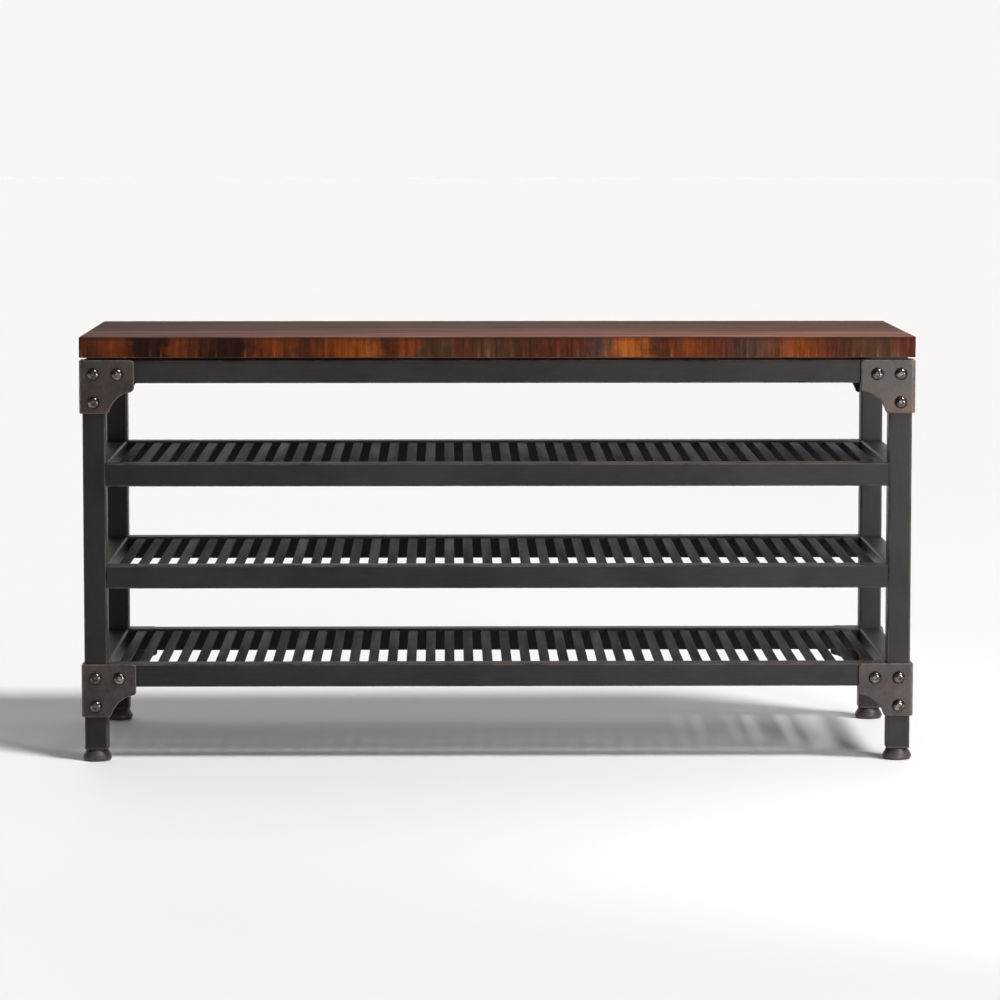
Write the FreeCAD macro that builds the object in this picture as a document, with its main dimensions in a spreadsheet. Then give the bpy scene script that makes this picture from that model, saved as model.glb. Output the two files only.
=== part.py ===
import FreeCAD, Part
import math
import os
import Sketcher

# Entryway bench: a plank seat on a square-tube frame with three slatted shelves, bolted corner
# brackets and four levelling feet. Millimetres. Origin on the floor under the centre of the bench,
# X to the right, Y to the back, Z up.

DOC = FreeCAD.newDocument("entryway_bench")
SHEET = DOC.addObject("Spreadsheet::Sheet", "Sizes")

# Sizes chosen for the bench: name, value, what it measures.
DRIVING = [
    ("bench_width", 914.0, "left to right over the corner brackets, and the length of the seat"),
    ("bench_depth", 356.0, "front to back over the corner brackets, and the depth of the seat"),
    ("seat_height", 467.5, "floor to the top of the seat"),
    ("board_thickness", 23.0, "seat planks"),
    ("board_round", 1.8, "rounding round the outside of the seat"),
    ("strip_thickness", 2.5, "flat strips between the frame and the seat"),
    ("strip_overhang", 20.0, "flat strips past the inner faces of the side rails"),
    ("strip_inset", 5.0, "flat strips in from the outer faces of the frame"),
    ("tube_size", 25.4, "square tube, across the flats"),
    ("tube_wall", 2.0, "square tube wall"),
    ("tube_corner", 2.5, "square tube outside corner radius"),
    ("low_shelf_height", 82.5, "floor to the underside of the low shelf"),
    ("lower_bay", 83.2, "clear height from the low shelf to the middle shelf"),
    ("upper_bay", 86.9, "clear height from the middle shelf to the high shelf"),
    ("slat_count", 40, "slats in each shelf"),
    ("slat_width", 11.0, "flat bar of the slats, across"),
    ("slat_thickness", 3.0, "flat bar of the slats, thick"),
    ("slat_edge", 0.6, "rounded edge of the slats"),
    ("slat_drop", 2.0, "slat tops below the tops of the shelf rails"),
    ("slat_margin", 10.2, "side rail to the first slat"),
    ("plate_thickness", 3.2, "corner brackets"),
    ("plate_edge", 1.4, "rounding round the outer faces of the brackets"),
    ("plate_corner", 4.0, "corners of the brackets"),
    ("bend_radius", 4.0, "outside of the bend in a bracket"),
    ("rail_arm", 31.4, "bracket along a rail, past the leg"),
    ("rail_arm_lip", 8.6, "bracket below a rail"),
    ("leg_arm", 33.0, "bracket down a leg, past the rail"),
    ("leg_arm_lip", 3.6, "bracket past the inner face of a leg"),
    ("gusset_radius", 30.5, "hollow curve between the two arms of a bracket"),
    ("bolt_radius", 3.95, "M8 bolt shank"),
    ("thread_clearance", 0.05, "shank or stem to the wall of its threaded hole"),
    ("bolt_freedom", 0.45, "shank to the wall of its hole in a bracket"),
    ("bolt_row", 15.5, "upper bolts below the bracket top"),
    ("bolt_drop", 46.4, "lower leg bolt below the bracket top"),
    ("rail_bolt_inset", 13.2, "rail bolt from the end of the rail"),
    ("bolt_bite", 4.6, "bolt past the inside of the tube wall"),
    ("bolt_head_radius", 6.8, "dome head of a bolt"),
    ("bolt_head_height", 5.2, "dome head of a bolt"),
    ("screw_radius", 1.95, "seat screw shank"),
    ("screw_freedom", 0.65, "seat screw to the wall of its hole in a strip"),
    ("screw_bite", 13.5, "seat screw inside the plank"),
    ("screw_inset", 9.5, "seat screws from the inner faces of the side rails"),
    ("screw_edge", 22.0, "screws of the outer planks from the joint with the middle one"),
    ("screw_spacing", 40.0, "the two screws of one plank end"),
    ("screw_head_radius", 4.4, "seat screw head"),
    ("screw_head_height", 2.6, "seat screw head"),
    ("screw_head_taper", 1.4, "seat screw head, narrower at its end than at the strip"),
    ("foot_height", 13.0, "pad of a levelling foot"),
    ("foot_overhang", 3.3, "pad of a levelling foot past the sides of the leg"),
    ("foot_bevel_width", 2.5, "bevel round the underside of a foot pad, inwards"),
    ("foot_bevel_height", 3.5, "bevel round the underside of a foot pad, upwards"),
    ("foot_side_top", 6.5, "underside of a foot pad to the top of its upright side"),
    ("foot_shoulder", 4.5, "sloping shoulder of a foot pad, inwards"),
    ("foot_edge", 1.6, "rounding of the corners of a foot pad"),
    ("foot_gap", 0.5, "pad to the end insert when the foot is screwed right in"),
    ("insert_rim", 1.5, "rim of the end insert below the leg"),
    ("insert_length", 20.0, "end insert inside the leg"),
    ("insert_clearance", 0.05, "end insert to the inside of the tube"),
    ("stem_radius", 3.95, "M8 stem of a levelling foot"),
    ("stem_length", 30.0, "stem of a levelling foot"),
    ("stem_seat", 5.0, "bottom of the stem above the underside of its pad"),
    ("stem_tip", 1.0, "bevel round the top of a stem"),
    ("cut_past", 1.0, "how far a cut runs past the face it comes out of"),
]

# Sizes that follow from the ones above: name, formula, what it measures.
DERIVED = [
    ("leg_x", "bench_width / 2 - plate_thickness - tube_size / 2", "centre of a leg, sideways"),
    ("leg_y", "bench_depth / 2 - plate_thickness - tube_size / 2", "centre of a leg, in depth"),
    ("tube_bore", "tube_size - 2 * tube_wall", "inside of the tube, across the flats"),
    ("bore_corner", "tube_corner / 2", "inside corner radius of the tube"),
    ("frame_top", "seat_height - board_thickness - strip_thickness", "top of legs and top rails"),
    ("top_rail_z", "frame_top - tube_size / 2", "centre line of the top rails"),
    ("low_shelf_z", "low_shelf_height + tube_size / 2", "centre line of its rails"),
    ("middle_shelf_z", "low_shelf_z + tube_size + lower_bay", "centre line of its rails"),
    ("high_shelf_z", "middle_shelf_z + tube_size + upper_bay", "centre line of its rails"),
    ("wide_rail", "2 * leg_x - tube_size", "length of front and back rails"),
    ("deep_rail", "2 * leg_y - tube_size", "length of left and right rails, and of the slats"),
    ("leg_bottom", "foot_height + foot_gap + insert_rim", "lower end of the leg tube"),
    ("leg_length", "frame_top - leg_bottom", "leg tube"),
    ("flange_width", "plate_thickness + tube_size", "bracket return along the side of the leg"),
    ("arm_length", "flange_width + rail_arm", "bracket corner to the end of its rail arm"),
    ("arm_height", "tube_size + rail_arm_lip", "rail arm of a bracket, top to bottom"),
    ("drop_length", "tube_size + leg_arm", "bracket corner to the end of its leg arm"),
    ("drop_width", "flange_width + leg_arm_lip", "leg arm of a bracket, across"),
    ("bolt_hole", "bolt_radius + thread_clearance", "tapped hole in a tube wall"),
    ("bolt_clear", "bolt_radius + bolt_freedom", "hole in a bracket"),
    ("bolt_length", "plate_thickness + tube_wall + bolt_bite", "bolt under the head"),
    ("bolt_column", "plate_thickness + tube_size / 2", "leg bolts from the bracket corner"),
    ("bolt_reach", "flange_width + rail_bolt_inset", "rail bolt from the bracket corner"),
    ("rail_bolt_x", "wide_rail / 2 - rail_bolt_inset", "rail bolt from the middle of the rail"),
    ("bolt_below_middle", "bolt_row - tube_size / 2", "rail bolt below the middle of the rail"),
    ("low_top", "low_shelf_z + tube_size / 2", "top of the low shelf rails and low brackets"),
    ("low_bolt_row", "frame_top - low_top + bolt_row", "upper low leg bolt below the leg top"),
    ("low_bolt_drop", "frame_top - low_top + bolt_drop", "lowest leg bolt below the leg top"),
    ("slat_span", "wide_rail - 2 * slat_margin - slat_width", "first slat to last, centre lines"),
    ("slat_rise", "tube_size / 2 - slat_drop - slat_thickness / 2", "slats above the rail centre line"),
    ("plank_width", "bench_depth / 3", "one of the three seat planks"),
    ("strip_width", "tube_size + strip_overhang - strip_inset", "flat strip, across"),
    ("strip_length", "2 * leg_y + tube_size - 2 * strip_inset", "flat strip, front to back"),
    ("strip_x", "leg_x + tube_size / 2 - strip_inset - strip_width / 2", "centre of a strip, sideways"),
    ("screw_x", "leg_x - tube_size / 2 - screw_inset", "seat screws, sideways"),
    ("screw_from_strip", "strip_x - screw_x", "seat screws from the middle of a strip"),
    ("middle_screw_y", "screw_spacing / 2", "screws of the middle plank from the centre line"),
    ("near_screw_y", "plank_width / 2 + screw_edge", "inner screws of the outer planks"),
    ("far_screw_y", "near_screw_y + screw_spacing", "outer screws of the outer planks"),
    ("screw_hole", "screw_radius + thread_clearance", "pilot hole of a seat screw"),
    ("screw_clear", "screw_radius + screw_freedom", "hole of a seat screw in a strip"),
    ("insert_bore", "stem_radius + thread_clearance", "threaded bore of an end insert"),
    ("plug_size", "tube_bore - 2 * insert_clearance", "end insert inside the tube, across the flats"),
    ("plug_corner", "bore_corner + 4 * insert_clearance", "end insert corner radius"),
    ("foot_radius", "tube_size / 2 + foot_overhang", "widest part of a levelling foot"),
]

# Shape of a bolt head: its hexagon socket across the flats, the flat land round the socket, and how
# far the upright rim and the middle of the dome lie down the head and out from its axis.
BOLT_SOCKET_FLATS = 5.0
BOLT_LAND = 0.6
BOLT_RIM_DOWN = 0.27
BOLT_DOME_OUT = 0.84
BOLT_DOME_DOWN = 0.77

# Two lengths closer than this count as the same.
SAME = 0.01

# Corner name, side of the centre in X and in Y, turn about Z from the front.
CORNERS = [
    ("front_left", -1, -1, 0),
    ("front_right", 1, -1, 0),
    ("back_right", 1, 1, 180),
    ("back_left", -1, 1, 180),
]

# Seat plank name, its side of the centre line, and the sizes that place its screws.
PLANKS = [
    ("front", -1, ["near_screw_y", "far_screw_y"]),
    ("middle", 0, ["middle_screw_y"]),
    ("back", 1, ["near_screw_y", "far_screw_y"]),
]

# Side name, side of the centre in X and in Y, turn about Z from the front, size that sets its length.
SIDES = [
    ("front", 0, -1, 0, "wide_rail"),
    ("right", 1, 0, 90, "deep_rail"),
    ("back", 0, 1, 180, "wide_rail"),
    ("left", -1, 0, 270, "deep_rail"),
]

# Frame level, size that sets its height, whether corner brackets are bolted to it.
LEVELS = [
    ("top", "top_rail_z", True),
    ("high_shelf", "high_shelf_z", False),
    ("middle_shelf", "middle_shelf_z", False),
    ("low_shelf", "low_shelf_z", True),
]

# A sketch seen from behind: its first axis runs the other way.
TURNED_OVER = FreeCAD.Placement(FreeCAD.Vector(0, 0, 0), FreeCAD.Rotation(FreeCAD.Vector(0, 1, 0), 180))

nodes = []


def fill_sheet():
    """Write every size with its name and meaning, one to a row."""
    row = 0
    for name, value, meaning in DRIVING:
        row += 1
        SHEET.set("A%d" % row, meaning)
        SHEET.set("B%d" % row, str(value))
        SHEET.setAlias("B%d" % row, name)
    for name, formula, meaning in DERIVED:
        row += 1
        SHEET.set("A%d" % row, meaning)
        SHEET.set("B%d" % row, "=" + formula)
        SHEET.setAlias("B%d" % row, name)
    DOC.recompute()


def size(name):
    """A size from the sheet as a plain number."""
    return float(SHEET.get(name))


def linked(formula):
    """A formula of size names as an expression that a document object can hold."""
    names = sorted([row[0] for row in DRIVING + DERIVED], key=len, reverse=True)
    words = formula.split()
    return " ".join("Sizes." + word if word in names else word for word in words)


def new_body(label):
    """A body that becomes one node."""
    body = DOC.addObject("PartDesign::Body", label)
    body.Label = label
    nodes.append(body)
    return body


def put(node, x, y, z, turn=0):
    """Place a node by formulas of size names, turned about Z in degrees."""
    node.Placement = FreeCAD.Placement(FreeCAD.Vector(0, 0, 0), FreeCAD.Rotation(turn, 0, 0))
    node.setExpression(".Placement.Base.x", linked(x))
    node.setExpression(".Placement.Base.y", linked(y))
    node.setExpression(".Placement.Base.z", linked(z))


def new_sketch(body, role):
    """A sketch on one of the body's own origin planes."""
    sketch = body.newObject("Sketcher::SketchObject", body.Label + "_sketch")
    plane = [item for item in body.Origin.OriginFeatures if item.Role == role][0]
    sketch.AttachmentSupport = [(plane, "")]
    sketch.MapMode = "FlatFace"
    sketch.Visibility = False
    return sketch


def hold(sketch, constraint, name):
    """Add a dimension to a sketch and tie it to a size."""
    index = sketch.addConstraint(constraint)
    sketch.setExpression("Constraints[%d]" % index, linked(name))


def rounded_rectangle(sketch, width, height, corner):
    """A rectangle with rounded corners about the sketch origin, from three size names."""
    half_w = size(width) / 2
    half_h = size(height) / 2
    r = size(corner)
    first = sketch.GeometryCount
    for sx, sy, start in [(1, 1, 0), (-1, 1, 90), (-1, -1, 180), (1, -1, 270)]:
        centre = FreeCAD.Vector(sx * (half_w - r), sy * (half_h - r), 0)
        circle = Part.Circle(centre, FreeCAD.Vector(0, 0, 1), r)
        sketch.addGeometry(Part.ArcOfCircle(circle, math.radians(start), math.radians(start + 90)))
    for x0, y0, x1, y1 in [
        (half_w - r, half_h, r - half_w, half_h),
        (-half_w, half_h - r, -half_w, r - half_h),
        (r - half_w, -half_h, half_w - r, -half_h),
        (half_w, r - half_h, half_w, half_h - r),
    ]:
        sketch.addGeometry(Part.LineSegment(FreeCAD.Vector(x0, y0, 0), FreeCAD.Vector(x1, y1, 0)))
    for i in range(4):
        line = first + 4 + i
        sketch.addConstraint(Sketcher.Constraint("Tangent", first + i, 2, line, 1))
        sketch.addConstraint(Sketcher.Constraint("Tangent", line, 2, first + (i + 1) % 4, 1))
        if i > 0:
            sketch.addConstraint(Sketcher.Constraint("Equal", first, first + i))
    sketch.addConstraint(Sketcher.Constraint("Horizontal", first + 4))
    sketch.addConstraint(Sketcher.Constraint("Vertical", first + 5))
    sketch.addConstraint(Sketcher.Constraint("Symmetric", first, 3, first + 2, 3, -1, 1))
    hold(sketch, Sketcher.Constraint("Radius", first, r), corner)
    hold(sketch, Sketcher.Constraint("DistanceX", first + 5, 1, first + 7, 2, 2 * half_w), width)
    hold(sketch, Sketcher.Constraint("DistanceY", first + 6, 1, first + 4, 2, 2 * half_h), height)


def circle(sketch, x_side, x, y_side, y, radius):
    """A circle at size x and size y from the sketch origin, each on side +1, -1 or 0 for on the axis."""
    centre = FreeCAD.Vector(x_side * size(x) if x_side else 0, y_side * size(y) if y_side else 0, 0)
    index = sketch.addGeometry(Part.Circle(centre, FreeCAD.Vector(0, 0, 1), size(radius)))
    for kind, side, name, axis in (("DistanceX", x_side, x, -2), ("DistanceY", y_side, y, -1)):
        if side == 0:
            sketch.addConstraint(Sketcher.Constraint("PointOnObject", index, 3, axis))
        else:
            ends = (-1, 1, index, 3) if side > 0 else (index, 3, -1, 1)
            hold(sketch, Sketcher.Constraint(kind, *ends, size(name)), name)
    hold(sketch, Sketcher.Constraint("Radius", index, size(radius)), radius)


def grow(body, kind, sketch, length, side="One side", reverse=False):
    """A pad or pocket of a sketch to a length given by a formula of size names."""
    feature = body.newObject("PartDesign::" + kind, body.Label + "_" + kind.lower())
    feature.Profile = sketch
    feature.SideType = side
    feature.Reversed = reverse
    feature.setExpression("Length", linked(length))
    return feature


def soften(body, edges, radius):
    """Round the edges of the newest feature that the given test picks out."""
    DOC.recompute()
    base = body.Tip
    picked = ["Edge%d" % (i + 1) for i, edge in enumerate(base.Shape.Edges) if edges(edge)]
    feature = body.newObject("PartDesign::Fillet", body.Label + "_fillet")
    feature.Base = (base, picked)
    feature.Radius = radius


def spans(edge, axis):
    """How far an edge runs along X, Y or Z."""
    box = edge.BoundBox
    return {"x": box.XLength, "y": box.YLength, "z": box.ZLength}[axis]


def tube(label, length, role, side="Symmetric", reverse=False):
    """A length of square tube along the normal of one origin plane."""
    body = new_body(label)
    profile = new_sketch(body, role)
    rounded_rectangle(profile, "tube_size", "tube_size", "tube_corner")
    rounded_rectangle(profile, "tube_bore", "tube_bore", "bore_corner")
    grow(body, "Pad", profile, length, side, reverse)
    return body


def leg(corner, x_side, y_side, turn):
    """A leg, down from its top, with four tapped holes in its outer face for the bracket bolts."""
    body = tube("leg_" + corner, "leg_length", "XY_Plane", "One side", True)
    holes = new_sketch(body, "XZ_Plane")
    for depth in ("bolt_row", "bolt_drop", "low_bolt_row", "low_bolt_drop"):
        circle(holes, 0, None, -1, depth, "bolt_hole")
    grow(body, "Pocket", holes, "tube_size / 2 + cut_past", reverse=True)
    put(body, "%d * leg_x" % x_side, "%d * leg_y" % y_side, "frame_top", turn)


def rail(level, height, bolted, side_name, x_side, y_side, turn, length):
    """A rail between two legs; a bolted one has a tapped hole near each end of its outer face."""
    body = tube(level + "_rail_" + side_name, length, "YZ_Plane")
    if bolted and y_side:
        holes = new_sketch(body, "XZ_Plane")
        for x_hole in (-1, 1):
            circle(holes, x_hole, "rail_bolt_x", -1, "bolt_below_middle", "bolt_hole")
        grow(body, "Pocket", holes, "tube_size / 2 + cut_past", reverse=True)
    put(body, "%d * leg_x" % x_side, "%d * leg_y" % y_side, height, turn)


def bracket(level, top, corner, x_side, y_side, turn):
    """A corner bracket: a gusset plate across leg and rail, with a return bent round the leg."""
    body = new_body(level + "_bracket_" + corner)
    hand = x_side * y_side
    outline = new_sketch(body, "XZ_Plane")
    gusset_outline(outline)
    holes = new_sketch(body, "XZ_Plane")
    circle(holes, 1, "bolt_column", -1, "bolt_row", "bolt_clear")
    circle(holes, 1, "bolt_column", -1, "bolt_drop", "bolt_clear")
    circle(holes, 1, "bolt_reach", -1, "bolt_row", "bolt_clear")
    if hand < 0:
        outline.AttachmentOffset = TURNED_OVER
        holes.AttachmentOffset = TURNED_OVER
    grow(body, "Pad", outline, "plate_thickness", reverse=hand > 0)
    flange = new_sketch(body, "YZ_Plane")
    flange_outline(flange)
    grow(body, "Pad", flange, "plate_thickness", reverse=hand < 0)
    grow(body, "Pocket", holes, "plate_thickness + cut_past", reverse=hand < 0)
    drop = size("drop_length")
    thick = size("plate_thickness")

    def is_bend(edge):
        at = edge.CenterOfMass
        return spans(edge, "z") > drop - SAME and abs(at.x) < SAME and abs(at.y) < SAME

    def is_corner(edge):
        at = edge.CenterOfMass
        through = abs(edge.Length - thick) < SAME and spans(edge, "z") < SAME
        gusset = abs(at.y - thick / 2) < SAME and abs(at.x) > thick
        return_end = abs(abs(at.x) - thick / 2) < SAME and at.y > thick
        return through and (gusset or return_end)

    def is_outer(edge):
        box = edge.BoundBox
        at = edge.CenterOfMass
        arc = isinstance(edge.Curve, Part.Circle)
        outer_front = box.YMax < SAME
        outer_side = max(abs(box.XMin), abs(box.XMax)) < SAME
        near = max(abs(at.x), at.y) < size("bend_radius")
        round_bend = arc and near and spans(edge, "z") < SAME
        hole_or_hollow = arc and spans(edge, "z") > size("bolt_clear")
        upright_bend = spans(edge, "z") > drop - SAME and at.y < size("bend_radius") + SAME
        return (outer_front or outer_side or round_bend) and not hole_or_hollow and not upright_bend

    soften(body, is_bend, size("bend_radius"))
    soften(body, is_corner, size("plate_corner"))
    soften(body, is_outer, size("plate_edge"))
    put(body, "%d * bench_width / 2" % x_side, "%d * bench_depth / 2" % y_side, top, turn)


def flange_outline(sketch):
    """The return of a bracket: a plain rectangle from the bend, as wide as the leg."""
    deep = size("flange_width")
    drop = size("drop_length")
    corners = [(0, 0), (deep, 0), (deep, -drop), (0, -drop)]
    for i in range(4):
        start = FreeCAD.Vector(*corners[i], 0)
        end = FreeCAD.Vector(*corners[(i + 1) % 4], 0)
        sketch.addGeometry(Part.LineSegment(start, end))
    for i in range(4):
        sketch.addConstraint(Sketcher.Constraint("Coincident", i, 2, (i + 1) % 4, 1))
    for i in (0, 2):
        sketch.addConstraint(Sketcher.Constraint("Horizontal", i))
        sketch.addConstraint(Sketcher.Constraint("Vertical", i + 1))
    sketch.addConstraint(Sketcher.Constraint("Coincident", 0, 1, -1, 1))
    hold(sketch, Sketcher.Constraint("DistanceX", 0, 1, 0, 2, deep), "flange_width")
    hold(sketch, Sketcher.Constraint("DistanceY", 1, 2, 1, 1, drop), "drop_length")


def gusset_outline(sketch):
    """One half of a bracket: an arm along the rail, an arm down the leg and a hollow curve between."""
    arm = size("arm_length")
    high = size("arm_height")
    drop = size("drop_length")
    wide = size("drop_width")
    radius = size("gusset_radius")
    rail_end = FreeCAD.Vector(arm, -high, 0)
    leg_end = FreeCAD.Vector(wide, -drop, 0)
    middle = (rail_end + leg_end) * 0.5
    half_chord = (rail_end - leg_end).Length / 2
    outward = FreeCAD.Vector(drop - high, -(arm - wide), 0)
    outward.normalize()
    centre = middle + outward * math.sqrt(radius * radius - half_chord * half_chord)
    corners = [FreeCAD.Vector(0, 0, 0), FreeCAD.Vector(arm, 0, 0), rail_end]
    for start, end in zip(corners, corners[1:]):
        sketch.addGeometry(Part.LineSegment(start, end))
    hollow = Part.Circle(centre, FreeCAD.Vector(0, 0, 1), radius)
    first = math.atan2(rail_end.y - centre.y, rail_end.x - centre.x)
    last = math.atan2(leg_end.y - centre.y, leg_end.x - centre.x)
    sketch.addGeometry(Part.ArcOfCircle(hollow, first, last))
    foot = FreeCAD.Vector(0, -drop, 0)
    sketch.addGeometry(Part.LineSegment(leg_end, foot))
    sketch.addGeometry(Part.LineSegment(foot, corners[0]))
    for one, end, other, start in [
        (0, 1, -1, 1), (0, 2, 1, 1), (1, 2, 2, 1), (2, 2, 3, 1), (3, 2, 4, 1), (4, 2, 0, 1)
    ]:
        sketch.addConstraint(Sketcher.Constraint("Coincident", one, end, other, start))
    sketch.addConstraint(Sketcher.Constraint("Horizontal", 0))
    sketch.addConstraint(Sketcher.Constraint("Vertical", 1))
    sketch.addConstraint(Sketcher.Constraint("Horizontal", 3))
    sketch.addConstraint(Sketcher.Constraint("Vertical", 4))
    hold(sketch, Sketcher.Constraint("DistanceX", 0, 1, 0, 2, arm), "arm_length")
    hold(sketch, Sketcher.Constraint("DistanceY", 1, 2, 1, 1, high), "arm_height")
    hold(sketch, Sketcher.Constraint("DistanceY", 4, 1, 4, 2, drop), "drop_length")
    hold(sketch, Sketcher.Constraint("DistanceX", 3, 2, 3, 1, wide), "drop_width")
    hold(sketch, Sketcher.Constraint("Radius", 2, radius), "gusset_radius")


def slats(level, height):
    """The slats of one shelf: flat bars between its front and back rails, evenly spaced."""
    body = new_body(level + "_slats")
    profile = new_sketch(body, "XZ_Plane")
    rounded_rectangle(profile, "slat_width", "slat_thickness", "slat_edge")
    first = grow(body, "Pad", profile, "deep_rail", "Symmetric")
    DOC.recompute()
    row = body.newObject("PartDesign::LinearPattern", body.Label + "_row")
    row.Originals = [first]
    row.Direction = (profile, ["H_Axis"])
    row.setExpression("Length", "Sizes.slat_span")
    row.setExpression("Occurrences", "Sizes.slat_count")
    body.Tip = row
    put(body, "0 - slat_span / 2", "0", height + " + slat_rise")


def plank(name, y_side, screw_rows):
    """A seat plank with four screw holes underneath, rounded along the outside of the seat."""
    body = new_body("seat_plank_" + name)
    outline = new_sketch(body, "XY_Plane")
    plain_rectangle(outline, "bench_width", "plank_width")
    if y_side:
        outline.setExpression(".AttachmentOffset.Base.y", "Sizes.plank_width")
    grow(body, "Pad", outline, "board_thickness")
    holes = new_sketch(body, "XY_Plane")
    for x_hole in (-1, 1):
        for row in screw_rows:
            circle(holes, x_hole, "screw_x", 1, row, "screw_hole")
            if y_side == 0:
                circle(holes, x_hole, "screw_x", -1, row, "screw_hole")
    grow(body, "Pocket", holes, "screw_bite + thread_clearance", reverse=True)
    half_width = size("bench_width") / 2
    half_depth = size("bench_depth") / 2

    def is_outer(edge):
        at = edge.CenterOfMass
        end = abs(abs(at.x) - half_width) < SAME and spans(edge, "z") < SAME
        return isinstance(edge.Curve, Part.Line) and (end or abs(at.y - half_depth) < SAME)

    soften(body, is_outer, size("board_round"))
    put(body, "0", "0", "seat_height - board_thickness", 180 if y_side < 0 else 0)


def plain_rectangle(sketch, width, depth):
    """A rectangle about the sketch origin, from two size names."""
    x = size(width) / 2
    y = size(depth) / 2
    corners = [(-x, -y), (x, -y), (x, y), (-x, y)]
    for i in range(4):
        start = FreeCAD.Vector(*corners[i], 0)
        end = FreeCAD.Vector(*corners[(i + 1) % 4], 0)
        sketch.addGeometry(Part.LineSegment(start, end))
    for i in range(4):
        sketch.addConstraint(Sketcher.Constraint("Coincident", i, 2, (i + 1) % 4, 1))
    for i in (0, 2):
        sketch.addConstraint(Sketcher.Constraint("Horizontal", i))
        sketch.addConstraint(Sketcher.Constraint("Vertical", i + 1))
    sketch.addConstraint(Sketcher.Constraint("Symmetric", 0, 1, 2, 1, -1, 1))
    hold(sketch, Sketcher.Constraint("DistanceX", 0, 1, 0, 2, 2 * x), width)
    hold(sketch, Sketcher.Constraint("DistanceY", 1, 1, 1, 2, 2 * y), depth)


def strip(side_name, x_side):
    """A flat strip on the left or right top rail and the leg tops, drilled for the seat screws."""
    body = new_body("seat_strip_" + side_name)
    outline = new_sketch(body, "XY_Plane")
    plain_rectangle(outline, "strip_width", "strip_length")
    grow(body, "Pad", outline, "strip_thickness")
    holes = new_sketch(body, "XY_Plane")
    for row in ("middle_screw_y", "near_screw_y", "far_screw_y"):
        for y_hole in (-1, 1):
            circle(holes, -x_side, "screw_from_strip", y_hole, row, "screw_clear")
    grow(body, "Pocket", holes, "strip_thickness + cut_past", reverse=True)
    put(body, "%d * strip_x" % x_side, "0", "frame_top")


def end_insert(corner, x_side, y_side):
    """A plastic plug pushed into the lower end of a leg: a rim below the tube and a threaded bore."""
    body = new_body("leg_insert_" + corner)
    rim = new_sketch(body, "XY_Plane")
    rounded_rectangle(rim, "tube_size", "tube_size", "tube_corner")
    circle(rim, 0, None, 0, None, "insert_bore")
    grow(body, "Pad", rim, "insert_rim")
    plug = new_sketch(body, "XY_Plane")
    rounded_rectangle(plug, "plug_size", "plug_size", "plug_corner")
    circle(plug, 0, None, 0, None, "insert_bore")
    grow(body, "Pad", plug, "insert_rim + insert_length")
    put(body, "%d * leg_x" % x_side, "%d * leg_y" % y_side, "leg_bottom - insert_rim")


def foot(corner, x_side, y_side):
    """A levelling foot: a round plastic pad moulded on a steel stem."""
    pad = new_body("foot_pad_" + corner)
    section = new_sketch(pad, "XZ_Plane")
    radius = size("foot_radius")
    height = size("foot_height")
    stem = size("stem_radius")
    seat = size("stem_seat")
    neck = radius - size("foot_shoulder")
    points = [
        (0, 0),
        (radius - size("foot_bevel_width"), 0),
        (radius, size("foot_bevel_height")),
        (radius, size("foot_side_top")),
        (neck, height),
        (stem, height),
        (stem, seat),
        (0, seat),
    ]
    for i, point in enumerate(points):
        following = points[(i + 1) % len(points)]
        sketch_line(section, point, following)
    turn_round(pad, section)
    soften(pad, lambda edge: on_rim(edge, neck - SAME), size("foot_edge"))
    put(pad, "%d * leg_x" % x_side, "%d * leg_y" % y_side, "0")

    screw = new_body("foot_stem_" + corner)
    section = new_sketch(screw, "XZ_Plane")
    top = seat + size("stem_length")
    tip = size("stem_tip")
    points = [(0, seat), (stem, seat), (stem, top - tip), (stem - tip, top), (0, top)]
    for i, point in enumerate(points):
        sketch_line(section, point, points[(i + 1) % len(points)])
    turn_round(screw, section)
    put(screw, "%d * leg_x" % x_side, "%d * leg_y" % y_side, "0")


def sketch_line(sketch, start, end):
    """A straight line of a turned profile, held where it is drawn."""
    line = Part.LineSegment(FreeCAD.Vector(*start, 0), FreeCAD.Vector(*end, 0))
    index = sketch.addGeometry(line)
    sketch.addConstraint(Sketcher.Constraint("Block", index))


def turn_round(body, section):
    """Turn a profile once round the upright axis of its sketch."""
    feature = body.newObject("PartDesign::Revolution", body.Label + "_turned")
    feature.Profile = section
    feature.ReferenceAxis = (section, ["V_Axis"])
    feature.Angle = 360


def on_rim(edge, radius):
    """Whether an edge is a full circle wider than a radius."""
    return edge.Curve.TypeId == "Part::GeomCircle" and edge.Curve.Radius > radius


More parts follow.
